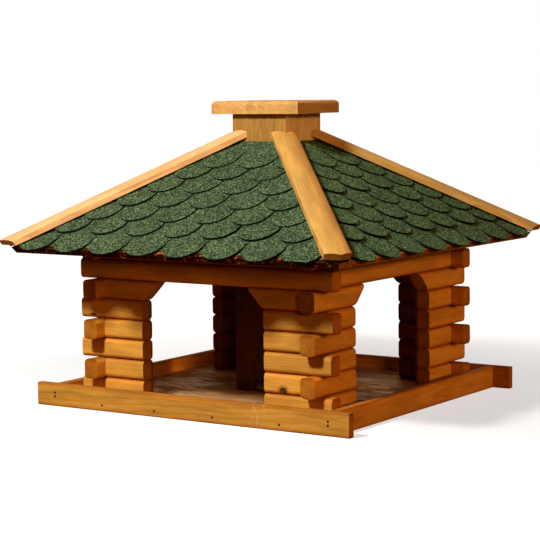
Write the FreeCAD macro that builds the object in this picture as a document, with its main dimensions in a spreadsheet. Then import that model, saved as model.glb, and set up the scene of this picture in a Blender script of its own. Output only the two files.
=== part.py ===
import FreeCAD, Part
import math
import os
import Sketcher

# Bird table: a tray, a small log cabin of four corner posts, a hipped shingle roof
# and a feed silo whose top stands out of the roof as a chimney with a lift-off cap.
# Millimetres. X runs along the front, Y to the back, Z up. The origin is the middle
# of the ground under the tray. Angles are in degrees.

Vector = FreeCAD.Vector
UP = Vector(0, 0, 1)

doc = FreeCAD.newDocument("bird_table")

# Driving sizes

SIZES = (
    ("tray_length", 500, "front and back rims, end to end"),
    ("tray_width", 450, "outside of the left and right rims"),
    ("tray_depth", 442, "outside of the front and back rims"),
    ("rim_height", 31, "all four rims"),
    ("rim_thickness", 11, "all four rims"),
    ("rim_edge_radius", 1.5, "long edges of the rims"),
    ("front_rim_offset", 2.4, "front rim and its corner nails, left of the middle"),
    ("floor_height", 4, "ground to underside of the floor"),
    ("floor_thickness", 8, "strand board floor"),
    ("house_width", 368, "outside of the log walls, both ways"),
    ("log_thickness", 22, "across the wall"),
    ("log_height", 27, "one course"),
    ("log_edge_radius", 6, "long edges of the logs"),
    ("log_projection", 18, "crossing logs beyond the wall"),
    ("log_stray", 4.5, "most that a crossing log is sawn short"),
    ("plate_height", 28.8, "outer face of the bevelled top course"),
    ("post_width", 86, "wall corner to the edge of the opening"),
    ("brace_reach", 26, "top course of a post, beyond the post"),
    ("roof_pitch", 32.3, "slope of all four roof faces"),
    ("roof_reach", 255, "roof centre to lower edge of the eave"),
    ("roof_board_thickness", 9, "roof boards"),
    ("mitre_gap", 0.8, "between two roof boards at a hip"),
    ("shingle_exposure", 31, "from one shingle row to the next, down the slope"),
    ("shingle_lap", 42, "part of a row under the next rows"),
    ("shingle_thickness", 1.3, "one layer"),
    ("shingle_overhang", 11, "lowest row beyond the roof board"),
    ("second_row_rise", 31.5, "second row's lower edge, up from the roof board's edge"),
    ("tab_pitch", 60.5, "from one round tab to the next"),
    ("tab_slit", 3.5, "open slit between two tabs"),
    ("slit_length", 40, "slit and round end of a tab"),
    ("starter_width", 40, "flat strip under the lowest row"),
    ("starter_thickness", 0.8, "flat strip under the lowest row"),
    ("starter_setback", 5, "flat strip, up from the roof board's edge"),
    ("batten_width", 34, "hip battens"),
    ("batten_thickness", 5.3, "hip battens, in the middle"),
    ("batten_edge", 5.5, "hip battens, upright side"),
    ("batten_overhang", 5, "hip battens beyond the roof boards, all but the front right"),
    ("batten_head_lift", 1, "top of the hip battens, added at the head, all but the front right"),
    ("batten_foot_lift", 4.5, "top of the same battens, added at the eave"),
    ("batten_foot_gap", 2.5, "underside of the same battens above the shingles at the eave"),
    ("near_foot_lift", 3.8, "top of the front right batten, added at the eave"),
    ("silo_width", 87, "outside of the silo, both ways"),
    ("silo_board_thickness", 12, "silo boards"),
    ("silo_rise", 37.3, "silo above the roof boards"),
    ("outlet_width", 35, "arched feed outlets"),
    ("outlet_height", 20.5, "arched feed outlets"),
    ("cap_length", 141, "cap board along X"),
    ("cap_depth", 105, "cap board along Y"),
    ("cap_offset", 2, "cap board's middle, left of the silo's"),
    ("cap_thickness", 17.6, "cap board"),
    ("cap_edge_radius", 5.5, "upper edges of the cap board"),
    ("plug_depth", 12, "plug under the cap board"),
    ("nail_diameter", 1.6, "shank"),
    ("nail_length", 25, "with its head"),
    ("nail_head_diameter", 3.4, "head"),
    ("nail_head_thickness", 1, "head"),
    ("rim_nail_spacing", 5, "between the two nails of a tray corner"),
    ("floor_nail_pitch", 95, "between the nails into the floor"),
    ("floor_nail_stray", 6, "most that such a nail stands beside its mark"),
    ("nail_fit", 0.03, "radial clearance of the nail holes"),
    ("slide_fit", 0.5, "plug to silo, on each side"),
    ("rest_gap", 0.3, "between loose or trimmed neighbours"),
    ("lap_gap", 0.05, "between two shingle layers"),
)

sizes = doc.addObject("Spreadsheet::Sheet", "Sizes")
for row, (alias, value, note) in enumerate(SIZES, start=1):
    sizes.set("A%d" % row, note)
    sizes.set("B%d" % row, str(value))
    sizes.setAlias("B%d" % row, alias)

# Sizes and places that follow from the driving sizes

BEAM_COURSES = 8
POST_COURSES = 6

PLACES = (
    ("floor_top", "Sizes.floor_height + Sizes.floor_thickness"),
    ("front_rim_reach", "(Sizes.tray_depth - Sizes.rim_thickness) / 2"),
    ("side_rim_reach", "(Sizes.tray_width - Sizes.rim_thickness) / 2"),
    ("side_rim_length", "Sizes.tray_depth - 2 * Sizes.rim_thickness"),
    ("floor_length", "Sizes.tray_width - 2 * Sizes.rim_thickness"),
    ("wall_outer", "Sizes.house_width / 2"),
    ("wall_inner", "wall_outer - Sizes.log_thickness"),
    ("wall_middle", "wall_outer - Sizes.log_thickness / 2"),
    ("log_end", "wall_outer + Sizes.log_projection"),
    ("post_inner", "wall_outer - Sizes.post_width"),
    ("log_radius", "min(Sizes.log_edge_radius; 0.45 * Sizes.log_thickness; 0.45 * Sizes.log_height)"),
    ("rim_radius", "min(Sizes.rim_edge_radius; 0.45 * Sizes.rim_thickness)"),
    ("plate_foot", "floor_top + %d * Sizes.log_height" % BEAM_COURSES),
    ("wall_top", "plate_foot + Sizes.plate_height"),
    ("pitch_tan", "tan(Sizes.roof_pitch)"),
    ("pitch_cos", "cos(Sizes.roof_pitch)"),
    ("pitch_sin", "sin(Sizes.roof_pitch)"),
    ("under_apex", "wall_top + wall_outer * pitch_tan"),
    ("board_rise", "Sizes.roof_board_thickness / pitch_cos"),
    ("board_apex", "under_apex + board_rise"),
    ("eave_top_reach", "Sizes.roof_reach + Sizes.roof_board_thickness * pitch_sin"),
    ("slope_length", "eave_top_reach / pitch_cos"),
    ("silo_half", "Sizes.silo_width / 2"),
    ("roof_hole", "silo_half + Sizes.rest_gap"),
    ("silo_inside", "Sizes.silo_width - 2 * Sizes.silo_board_thickness"),
    ("silo_top", "board_apex - silo_half * pitch_tan + Sizes.silo_rise"),
    ("silo_height", "silo_top - floor_top"),
    ("outlet_radius", "Sizes.outlet_width / 2"),
    ("outlet_side", "Sizes.outlet_height - outlet_radius"),
    ("shingle_length", "Sizes.shingle_exposure + Sizes.shingle_lap"),
    ("least_exposure", "0.86 * Sizes.shingle_exposure"),
    ("shingle_tilt", "asin((Sizes.shingle_thickness + Sizes.lap_gap) / least_exposure)"),
    ("shingle_rise", "shingle_length * sin(shingle_tilt) + Sizes.shingle_thickness + 2 * Sizes.lap_gap"),
    ("batten_apex", "board_apex + (shingle_rise + Sizes.lap_gap) / pitch_cos"),
    ("hip_angle", "atan(pitch_tan / sqrt(2))"),
    ("lift_slope", "(Sizes.batten_foot_lift - Sizes.batten_head_lift) / eave_top_reach"),
    ("lifted_angle", "atan((pitch_tan - lift_slope) / sqrt(2))"),
    ("lifted_apex", "batten_apex + Sizes.batten_head_lift"),
    ("gap_slope", "Sizes.batten_foot_gap / eave_top_reach"),
    ("gap_angle", "atan((pitch_tan - gap_slope) / sqrt(2))"),
    ("near_slope", "Sizes.near_foot_lift / eave_top_reach"),
    ("near_angle", "atan((pitch_tan - near_slope) / sqrt(2))"),
    ("batten_half", "Sizes.batten_width / 2"),
    ("groove_drop", "batten_half * sin(hip_angle)"),
    ("crown_drop", "groove_drop - Sizes.batten_edge"),
    ("crown_rise", "Sizes.batten_thickness + crown_drop"),
    ("crown_radius", "(batten_half * batten_half + crown_rise * crown_rise) / (2 * crown_rise)"),
    ("hip_length", "sqrt(2) * eave_top_reach / cos(hip_angle)"),
    ("beyond", "Sizes.tray_length"),
    ("cap_under", "silo_top + Sizes.rest_gap"),
    ("plug_width", "silo_inside - 2 * Sizes.slide_fit"),
    ("cap_radius", "min(Sizes.cap_edge_radius; 0.45 * Sizes.cap_thickness)"),
    ("nail_height", "Sizes.floor_height + Sizes.floor_thickness / 2"),
    ("pair_middle", "Sizes.rim_height * 0.515"),
)

places = doc.addObject("Spreadsheet::Sheet", "Places")
for row, (alias, formula) in enumerate(PLACES, start=1):
    places.set("B%d" % row, "=" + formula)
    places.setAlias("B%d" % row, alias)
doc.recompute()


def number(formula):
    """The present value of a formula of sheet cells."""
    return float(places.evalExpression(formula))


# Helpers

SIDES = (
    ("front", 0, 0, -1),
    ("right", 90, 1, 0),
    ("back", 180, 0, 1),
    ("left", 270, -1, 0),
)
CORNERS = (
    ("front_right", 1, -1),
    ("front_left", -1, -1),
    ("back_right", 1, 1),
    ("back_left", -1, 1),
)

nodes = []


def keep(piece, name):
    """Names a finished sub-part and puts it on the list to write."""
    piece.Label = name
    nodes.append(piece)
    return piece


def place(piece, along, across, height, turn=0):
    """Turns a piece about Z and binds its place to the sheets."""
    piece.Placement = FreeCAD.Placement(Vector(), FreeCAD.Rotation(UP, turn))
    piece.setExpression("Placement.Base.x", along)
    piece.setExpression("Placement.Base.y", across)
    piece.setExpression("Placement.Base.z", height)


def place_on_side(piece, side, reach, height):
    """Places a piece that runs along the front on the given side instead."""
    name, turn, right, back = side
    place(piece, "%d * (%s)" % (right, reach), "%d * (%s)" % (back, reach), height, turn)


def draw_outline(sketch, corners, arcs=()):
    """Draws a closed outline whose corners are pairs of formulas.

    arcs holds (number of the corner where the arc starts, formulas of its centre,
    sense of turning), and the arc ends at the next corner.
    """
    points = [Vector(number(a), number(b), 0) for a, b in corners]
    count = len(points)
    arc_at = {start: (centre, sense) for start, centre, sense in arcs}
    first_end = {}
    last_end = {}
    for index in range(count):
        here = points[index]
        after = points[(index + 1) % count]
        if index in arc_at:
            (across, up), sense = arc_at[index]
            centre = Vector(number(across), number(up), 0)
            circle = Part.Circle(centre, UP, here.distanceToPoint(centre))
            start = math.atan2(here.y - centre.y, here.x - centre.x)
            stop = math.atan2(after.y - centre.y, after.x - centre.x)
            if sense > 0:
                sketch.addGeometry(Part.ArcOfCircle(circle, start, stop), False)
                first_end[index], last_end[index] = 1, 2
            else:
                sketch.addGeometry(Part.ArcOfCircle(circle, stop, start), False)
                first_end[index], last_end[index] = 2, 1
        else:
            sketch.addGeometry(Part.LineSegment(here, after), False)
            first_end[index], last_end[index] = 1, 2
    for index in range(count):
        after = (index + 1) % count
        sketch.addConstraint(
            Sketcher.Constraint("Coincident", index, last_end[index], after, first_end[after]))
    for index, (across, up) in enumerate(corners):
        bind(sketch, "DistanceX", index, first_end[index], points[index].x, across)
        bind(sketch, "DistanceY", index, first_end[index], points[index].y, up)
    for index, ((across, up), sense) in arc_at.items():
        bind(sketch, "DistanceY", index, 3, number(up), up)


def bind(sketch, kind, edge, point, value, formula):
    """Ties one coordinate of a sketch point to a formula."""
    made = sketch.addConstraint(Sketcher.Constraint(kind, -1, 1, edge, point, value))
    sketch.setExpression("Constraints[%d]" % made, formula)


def body_sketch(body, role, corners, arcs=()):
    """A sketch on one of the body's own origin planes."""
    sketch = body.newObject("Sketcher::SketchObject", body.Name + "_sketch")
    plane = [item for item in body.Origin.OriginFeatures if item.Role == role][0]
    sketch.AttachmentSupport = (plane, [""])
    sketch.MapMode = "FlatFace"
    draw_outline(sketch, corners, arcs)
    return sketch


def board(name, corners, thickness, arcs=()):
    """A piece with the given outline in X and Z, thick along Y about its middle."""
    body = doc.addObject("PartDesign::Body", name)
    sketch = body_sketch(body, "XZ_Plane", corners, arcs)
    pad = body.newObject("PartDesign::Pad", name + "_pad")
    pad.Profile = sketch
    pad.SideType = "Symmetric"
    pad.setExpression("Length", thickness)
    return body


def round_edges(body, radius, wanted):
    """Rounds the edges of a body's last feature for which wanted(edge) is true."""
    doc.recompute()
    base = body.Tip
    names = ["Edge%d" % (place_in_list + 1)
             for place_in_list, edge in enumerate(base.Shape.Edges) if wanted(edge)]
    fillet = body.newObject("PartDesign::Fillet", body.Name + "_rounding")
    fillet.Base = (base, names)
    fillet.setExpression("Radius", radius)
    return body


def runs_along(edge):
    """True for a straight edge along X."""
    direction = edge.Vertexes[-1].Point - edge.Vertexes[0].Point
    return abs(direction.y) < 1e-6 and abs(direction.z) < 1e-6 and abs(direction.x) > 1e-6


def timber(name, start, stop, height, thickness, radius, upper_stop=None):
    """A straight piece from start to stop along X, with rounded long edges."""
    corners = [(start, "0"), (stop, "0"), (upper_stop or stop, height), (start, height)]
    return round_edges(board(name, corners, thickness), radius, runs_along)


def free_sketch(name, corners, rotation, arcs=()):
    """A sketch that stands by itself."""
    sketch = doc.addObject("Sketcher::SketchObject", name)
    sketch.Placement = FreeCAD.Placement(Vector(), rotation)
    draw_outline(sketch, corners, arcs)
    return sketch


def extrusion(name, sketch, direction, length, both_ways=False):
    """A solid from a free sketch."""
    solid = doc.addObject("Part::Extrusion", name)
    solid.Base = sketch
    solid.DirMode = "Custom"
    solid.Dir = direction
    solid.Solid = True
    solid.Symmetric = both_ways
    solid.setExpression("LengthFwd", length)
    return solid


def box(name, length, width, height):
    solid = doc.addObject("Part::Box", name)
    solid.setExpression("Length", length)
    solid.setExpression("Width", width)
    solid.setExpression("Height", height)
    return solid


def cut(name, base, tool):
    solid = doc.addObject("Part::Cut", name)
    solid.Base = base
    solid.Tool = tool
    return solid


def group(name, links):
    solid = doc.addObject("Part::Compound", name)
    solid.Links = links
    return solid


ON_XY = FreeCAD.Rotation()
ON_YZ = FreeCAD.Rotation(Vector(0, 1, 0), UP, Vector(1, 0, 0))

# Nails of the tray, and the holes for them: two in each end of the front and back
# rims, which hold the side rims, and four along each, which hold the floor. They were
# set by hand, so each nail of the row stands a little beside its mark.

FLOOR_NAIL_STRAYS = (0.4, -0.8, -1, 0.4)


def nail_form(name, clearance):
    """A headed pin along +Y from its head's flat, larger all over by the clearance."""
    parts = []
    for part, diameter, length in (
            ("shank", "Sizes.nail_diameter", "Sizes.nail_length"),
            ("head", "Sizes.nail_head_diameter", "Sizes.nail_head_thickness")):
        pin = doc.addObject("Part::Cylinder", name + "_" + part)
        pin.setExpression("Radius", "%s / 2 + %s" % (diameter, clearance))
        pin.setExpression("Height", "%s + %s" % (length, clearance))
        pin.Placement = FreeCAD.Placement(Vector(), FreeCAD.Rotation(UP, Vector(0, 1, 0)))
        parts.append(pin)
    whole = doc.addObject("Part::Fuse", name)
    whole.Base, whole.Tool = parts
    return whole


def nail_places(offset):
    """Formulas of X and Z of each nail of one long rim."""
    for end in (-1, 1):
        for level in (-1, 1):
            height = "Places.pair_middle + %g * Sizes.rim_nail_spacing" % (level / 2)
            yield "%d * Places.side_rim_reach - %s" % (end, offset), height
    middle = (len(FLOOR_NAIL_STRAYS) - 1) / 2
    for index, stray in enumerate(FLOOR_NAIL_STRAYS):
        across = "%g * Sizes.floor_nail_pitch + %g * Sizes.floor_nail_stray" % (index - middle, stray)
        yield across, "Places.nail_height"


nails = []
holes = []
for kind, clearance, found in (("nail", "0", nails), ("nail_hole", "Sizes.nail_fit", holes)):
    for side, turn, back, offset in (("front", 0, -1, "Sizes.front_rim_offset"), ("back", 180, 1, "0")):
        for index, (across, height) in enumerate(nail_places(offset)):
            pin = nail_form("%s_%s_%d" % (kind, side, index + 1), clearance)
            place(pin, across, "%d * Sizes.tray_depth / 2" % back, height, turn)
            found.append(pin)
keep(group("nails", nails), "tray_nails")
nail_holes = group("nail_holes", holes)

# Tray: four rims nailed together at the corners, with a strand board floor between them

for side in SIDES:
    along_front = side[0] in ("front", "back")
    half = "Sizes.tray_length / 2" if along_front else "Places.side_rim_length / 2"
    reach = "Places.front_rim_reach" if along_front else "Places.side_rim_reach"
    rim = timber("rim_timber_" + side[0], "-" + half, half, "Sizes.rim_height",
                 "Sizes.rim_thickness", "Places.rim_radius")
    place_on_side(rim, side, reach, "0")
    if side[0] == "front":
        rim.setExpression("Placement.Base.x", "-Sizes.front_rim_offset")
    keep(cut("drilled_rim_" + side[0], rim, nail_holes), "rim_" + side[0])

floor = box("floor_sheet", "Places.floor_length", "Places.side_rim_length", "Sizes.floor_thickness")
place(floor, "-Places.floor_length / 2", "-Places.side_rim_length / 2", "Sizes.floor_height")
keep(cut("drilled_floor", floor, nail_holes), "floor_panel")

# Corner posts: in each course one log crosses the corner and sticks out, the other
# butts against it, and they change places from course to course. The ends of the top
# course lean over the opening as braces. The crossing logs of the near post are sawn a
# little short, each by its own share of the stray.

LOG_STRAYS = {"front_right": (0.45, 1, 0.6, 1, 0, 1)}


def post_log(name, corner, runs_across, crosses, course):
    """One log of a post, its outer end at local X 0 and its inner end at the opening."""
    label, right, back = corner
    outer = "Places.wall_inner"
    if crosses:
        stray = LOG_STRAYS.get(label, (0,) * POST_COURSES)[course - 1]
        outer = "(Places.log_end - %g * Sizes.log_stray)" % stray
    length = outer + " - Places.post_inner"
    upper = length + " + Sizes.brace_reach" if course == POST_COURSES else length
    log = timber(name, "0", length, "Sizes.log_height", "Sizes.log_thickness",
                 "Places.log_radius", upper)
    height = "Places.floor_top + %d * Sizes.log_height" % (course - 1)
    if runs_across:
        turn = 180 if right > 0 else 0
        place(log, "%d * %s" % (right, outer), "%d * Places.wall_middle" % back, height, turn)
    else:
        turn = 270 if back > 0 else 90
        place(log, "%d * Places.wall_middle" % right, "%d * %s" % (back, outer), height, turn)
    return log


for corner in CORNERS:
    for course in range(1, POST_COURSES + 1):
        name = "post_%s_course_%d" % (corner[0], course)
        across_crosses = course % 2 == 1
        pair = [post_log(name + "_log_x", corner, True, across_crosses, course),
                post_log(name + "_log_y", corner, False, not across_crosses, course)]
        keep(group(name + "_pair", pair), name)

# Beams over the openings: two courses that cross at the corners like the posts

for name, course, crossing in (("lintel", 7, ("front", "back")), ("tie_beam", 8, ("left", "right"))):
    for side in SIDES:
        half = "Places.log_end" if side[0] in crossing else "Places.wall_inner"
        beam = timber("%s_log_%s" % (name, side[0]), "-" + half, half, "Sizes.log_height",
                      "Sizes.log_thickness", "Places.log_radius")
        place_on_side(beam, side, "Places.wall_middle",
                      "Places.floor_top + %d * Sizes.log_height" % (course - 1))
        keep(beam, "%s_%s" % (name, side[0]))

# Pieces that follow the roof slope are sawn to a section in Y and Z, as on the front,
# and mitred along both hips. The section's heights are measured from the ground.


def hip_wedge(name, gap):
    """The space over the front side between two hips and outside the silo."""
    inner = "Places.roof_hole"
    outer = "Places.beyond"
    back_off = "sqrt(0.5) * (%s)" % gap
    corners = [("-(%s - %s)" % (inner, back_off), "-" + inner),
               ("-(%s - %s)" % (outer, back_off), "-" + outer),
               ("%s - %s" % (outer, back_off), "-" + outer),
               ("%s - %s" % (inner, back_off), "-" + inner)]
    return extrusion(name, free_sketch(name + "_plan", corners, ON_XY), UP, "Places.beyond")


def slope_piece(name, section, wedge, side):
    outline = free_sketch(name + "_section", section, ON_YZ)
    whole = extrusion(name + "_blank", outline, Vector(1, 0, 0), "2 * Places.beyond", True)
    piece = doc.addObject("Part::Common", name + "_mitred")
    piece.Base = whole
    piece.Tool = wedge
    place(piece, "0", "0", "0", side[1])
    return keep(piece, name)


tight_wedge = hip_wedge("wedge_tight", "0")
board_wedge = hip_wedge("wedge_boards", "Sizes.mitre_gap / 2")

# Wall plates: the top course, bevelled to carry the roof boards

plate_section = [
    ("-Places.wall_outer", "Places.plate_foot"),
    ("-Places.wall_inner", "Places.plate_foot"),
    ("-Places.wall_inner", "Places.under_apex - Places.wall_inner * Places.pitch_tan"),
    ("-Places.wall_outer", "Places.wall_top"),
]
for side in SIDES:
    slope_piece("wall_plate_" + side[0], plate_section, tight_wedge, side)

# Roof boards: cut square to the slope at the eave and upright at the silo

board_section = [
    ("-Sizes.roof_reach", "Places.under_apex - Sizes.roof_reach * Places.pitch_tan"),
    ("-Places.silo_half", "Places.under_apex - Places.silo_half * Places.pitch_tan"),
    ("-Places.silo_half", "Places.board_apex - Places.silo_half * Places.pitch_tan"),
    ("-Places.eave_top_reach", "Places.board_apex - Places.eave_top_reach * Places.pitch_tan"),
]
for side in SIDES:
    slope_piece("roof_board_" + side[0], board_section, board_wedge, side)

# Shingles: a starter strip and rows of round tabs on each roof face. Each strip lies
# tilted on the one below it. They are laid by hand: the tabs of a row come near the slits
# of the row below, but not over their middle, and some rows lie a little high. The lowest
# row sticks out over the eave, but its tabs on the hips are trimmed in line with the
# boards, so that they don't show under the battens.

TAB_SHIFTS = (
    (0.35, -0.13, 0.4, -0.03, 0.46, -0.08, 0.4, -0.05),
    (-0.34, 0.15, -0.34, 0.17, -0.35, 0.1, -0.39, 0.13),
)
ROW_STRAYS = (0, 0, 0, 0.06, 0.13, 0.13, 0, 0)


def tab_strip(shift, length):
    """One row as a flat solid: upper edge on X, tabs towards -Y, a tab's middle at shift."""
    pitch = number("Sizes.tab_pitch")
    radius = (pitch - number("Sizes.tab_slit")) / 2
    slit_top = length - number("Sizes.slit_length")
    shoulder = max(length - radius, slit_top)
    tabs = math.ceil(number("Places.beyond") / 2 / pitch) + 1
    middles = [shift + index * pitch for index in range(-tabs, tabs + 1)]
    edges = []
    corner = Vector(middles[0] - radius, 0, 0)

    def line_to(across, down):
        nonlocal corner
        target = Vector(across, -down, 0)
        edges.append(Part.LineSegment(corner, target).toShape())
        corner = target

    for middle in middles:
        if middle > middles[0]:
            line_to(middle - radius, slit_top)
        if slit_top < shoulder or middle == middles[0]:
            line_to(middle - radius, shoulder)
        target = Vector(middle + radius, -shoulder, 0)
        edges.append(Part.Arc(corner, Vector(middle, -length, 0), target).toShape())
        corner = target
        if slit_top < shoulder and middle < middles[-1]:
            line_to(middle + radius, slit_top)
    line_to(middles[-1] + radius, 0)
    line_to(middles[0] - radius, 0)
    return Part.Face(Part.Wire(edges)).extrude(UP * number("Sizes.shingle_thickness"))


def without_hip_tabs(strip, shift, length):
    """The lowest row, with its tabs on the hips cut off along the roof board's edge."""
    pitch = number("Sizes.tab_pitch")
    reach = number("Places.eave_top_reach")
    overhang = number("Sizes.shingle_overhang")
    margin = number("Sizes.shingle_thickness")
    width = number("Places.beyond")
    right_slit = shift + (math.floor((reach - shift) / pitch) + 0.5) * pitch
    left_slit = shift + (math.ceil((-reach - shift) / pitch) - 0.5) * pitch
    for start, stop in ((right_slit, width), (-width, left_slit)):
        waste = Part.makeBox(stop - start, overhang + margin, 3 * margin,
                             Vector(start, -length - margin, -margin))
        strip = strip.cut(waste)
    return strip


def on_slope(solid, down, lift, pitch):
    """Lays a flat solid on the front slope, its local origin that far down from the apex."""
    spot = Vector(0, -down * number("Places.pitch_cos") - lift * number("Places.pitch_sin"),
                  number("Places.board_apex") - down * number("Places.pitch_sin")
                  + lift * number("Places.pitch_cos"))
    solid.Placement = FreeCAD.Placement(spot, FreeCAD.Rotation(Vector(1, 0, 0), pitch))
    return solid


def row_tips():
    """The rows' lower edges, as distances down the slope from the apex."""
    edge = number("Places.slope_length")
    exposure = number("Sizes.shingle_exposure")
    least = number("Places.silo_half / Places.pitch_cos + Sizes.slit_length") + exposure / 4
    tips = [edge + number("Sizes.shingle_overhang")]
    second = edge - number("Sizes.second_row_rise")
    while True:
        stray = ROW_STRAYS[len(tips) % len(ROW_STRAYS)]
        tip = second - (len(tips) - 1 + stray) * exposure
        if tip < least:
            return tips
        tips.append(tip)


def shingle_strips(shifts):
    """The strips of the front roof face, before they are trimmed, from the eave up."""
    pitch = number("Sizes.roof_pitch")
    gap = number("Sizes.lap_gap")
    width = 2 * number("Places.beyond")
    starter_width = number("Sizes.starter_width")
    starter = Part.makeBox(width, starter_width, number("Sizes.starter_thickness"),
                           Vector(-width / 2, 0, 0))
    starter_edge = number("Places.slope_length - Sizes.starter_setback")
    strips = [on_slope(starter, starter_edge, gap / 2, pitch)]
    tips = row_tips()
    least_length = number("Places.shingle_length")
    rise = least_length * math.sin(math.radians(number("Places.shingle_tilt")))
    to_silo = tips[-1] - number("Places.silo_half / Places.pitch_cos")
    for row, tip in enumerate(tips):
        length = least_length
        if tip == tips[-1]:
            length = max(length, to_silo + number("Sizes.slit_length / 4"))
        tilt = math.asin(rise / length)
        shift = shifts[row % len(shifts)] * number("Sizes.tab_pitch")
        strip = tab_strip(shift, length)
        if row == 0:
            strip = without_hip_tabs(strip, shift, length)
        strips.append(on_slope(strip, tip - length * math.cos(tilt), gap,
                               pitch - math.degrees(tilt)))
    return strips


loose_wedge = hip_wedge("wedge_shingles", "Sizes.rest_gap")
doc.recompute()
trimmed = []
for shifts in TAB_SHIFTS:
    # The hip cut may sever a corner of the last tab, which falls away under the batten
    cuts = [strip.common(loose_wedge.Shape).Solids for strip in shingle_strips(shifts)]
    trimmed.append(Part.makeCompound([max(pieces, key=lambda solid: solid.Volume) for pieces in cuts]))
for index, side in enumerate(SIDES):
    shingles = doc.addObject("Part::Feature", "shingle_rows_" + side[0])
    shingles.Shape = trimmed[index % 2]
    shingles.Placement = FreeCAD.Placement(Vector(), FreeCAD.Rotation(UP, side[1]))
    keep(shingles, "shingles_" + side[0])

# Hip battens: a slat with a crowned top and a grooved underside that sits astride two
# roof faces. It grows thicker towards the eave, so it is two slats in one: one gives the
# underside and a flatter one the top. The lower end is cut square to both faces. The front
# right one lies close and ends in line with the roof boards. The others end a little
# beyond and stand off the shingles at the eave. The upper end is notched around the silo.

slat_outline = free_sketch("slat_section", [
    ("0", "0"),
    ("Places.batten_half", "-Places.groove_drop"),
    ("Places.batten_half", "-Places.crown_drop"),
    ("-Places.batten_half", "-Places.crown_drop"),
    ("-Places.batten_half", "-Places.groove_drop"),
], ON_YZ, [(2, ("0", "Sizes.batten_thickness - Places.crown_radius"), 1)])


def slat_on_hip(name, angle, apex):
    """The endless slat along the front right hip, with its drop and its highest point."""
    slat = extrusion(name, slat_outline, Vector(1, 0, 0), "1.2 * Places.hip_length")
    slat.Placement = FreeCAD.Placement(Vector(), FreeCAD.Rotation(Vector(0, 1, 0), 1))
    slat.setExpression("Placement.Rotation.Angle", angle)
    slat.setExpression("Placement.Base.z", apex)
    turned = group(name + "_on_hip", [slat])
    turned.Placement = FreeCAD.Placement(Vector(), FreeCAD.Rotation(UP, -45))
    return turned


def end_block(name, overhang):
    """The space beyond a square cut on the front, that far down from the roof board."""
    block = box(name, "2 * Places.beyond", "Places.beyond", "Places.beyond")
    block.Placement = FreeCAD.Placement(Vector(), FreeCAD.Rotation(Vector(1, 0, 0), 1))
    block.setExpression("Placement.Rotation.Angle", "Sizes.roof_pitch")
    down = "(Places.slope_length + %s + Places.beyond)" % overhang
    lift = "(-Places.beyond / 2)"
    block.setExpression("Placement.Base.x", "-Places.beyond")
    block.setExpression("Placement.Base.y",
                        "-%s * Places.pitch_cos - %s * Places.pitch_sin" % (down, lift))
    block.setExpression("Placement.Base.z", "Places.board_apex - %s * Places.pitch_sin"
                        " + %s * Places.pitch_cos" % (down, lift))
    return block


def tapered_slat(name, under, over):
    """A slat with the underside of one endless slat and the top of another."""
    slat = doc.addObject("Part::MultiFuse", name)
    slat.Shapes = [under, over]
    return slat


near_slat = tapered_slat(
    "near_slat",
    slat_on_hip("close_slat", "Places.hip_angle", "Places.batten_apex"),
    slat_on_hip("near_top_slat", "Places.near_angle", "Places.batten_apex"))
other_slat = tapered_slat(
    "other_slat",
    slat_on_hip("gap_slat", "Places.gap_angle", "Places.batten_apex"),
    slat_on_hip("lifted_slat", "Places.lifted_angle", "Places.lifted_apex"))
silo_space = box("silo_space", "2 * Places.roof_hole", "2 * Places.roof_hole", "Places.beyond")
place(silo_space, "-Places.roof_hole", "-Places.roof_hole", "Places.floor_top")
for name, turn, slat, overhang in (
        ("front_right", 0, near_slat, "0"),
        ("back_right", 90, other_slat, "Sizes.batten_overhang"),
        ("back_left", 180, other_slat, "Sizes.batten_overhang"),
        ("front_left", 270, other_slat, "Sizes.batten_overhang")):
    front_end = end_block("front_end_" + name, overhang)
    right_end = group("right_end_" + name, [end_block("right_end_block_" + name, overhang)])
    right_end.Placement = FreeCAD.Placement(Vector(), FreeCAD.Rotation(UP, 90))
    waste = doc.addObject("Part::MultiFuse", "batten_waste_" + name)
    waste.Shapes = [front_end, right_end, silo_space]
    batten = cut("cut_slat_" + name, slat, waste)
    place(batten, "0", "0", "0", turn)
    keep(batten, "hip_batten_" + name)

# Silo: four boards from the floor up through the roof, each with an arched outlet

for side in SIDES:
    full = side[0] in ("front", "back")
    half = "Places.silo_half" if full else "Places.silo_inside / 2"
    outline = [
        ("-" + half, "0"),
        ("-Places.outlet_radius", "0"),
        ("-Places.outlet_radius", "Places.outlet_side"),
        ("Places.outlet_radius", "Places.outlet_side"),
        ("Places.outlet_radius", "0"),
        (half, "0"),
        (half, "Places.silo_height"),
        ("-" + half, "Places.silo_height"),
    ]
    silo_board = board("silo_side_" + side[0], outline, "Sizes.silo_board_thickness",
                       [(2, ("0", "Places.outlet_side"), -1)])
    place_on_side(silo_board, side, "Places.silo_half - Sizes.silo_board_thickness / 2",
                  "Places.floor_top")
    keep(silo_board, "silo_board_" + side[0])

# Cap: a board that rests on the silo's top, with a plug that keeps it in place

cap = board("cap_blank", [
    ("-Sizes.cap_length / 2", "0"),
    ("Sizes.cap_length / 2", "0"),
    ("Sizes.cap_length / 2", "Sizes.cap_thickness"),
    ("-Sizes.cap_length / 2", "Sizes.cap_thickness"),
], "Sizes.cap_depth")
cap_top = number("Sizes.cap_thickness")
round_edges(cap, "Places.cap_radius",
            lambda edge: all(abs(end.Z - cap_top) < 1e-6 for end in edge.Vertexes))
place(cap, "-Sizes.cap_offset", "0", "Places.cap_under")
keep(cap, "cap_board")

plug = box("plug_block", "Places.plug_width", "Places.plug_width", "Sizes.plug_depth")
place(plug, "-Places.plug_width / 2", "-Places.plug_width / 2",
      "Places.cap_under - Sizes.plug_depth")
keep(plug, "cap_plug")

# Check every object, then write one file for each sub-part

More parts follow.
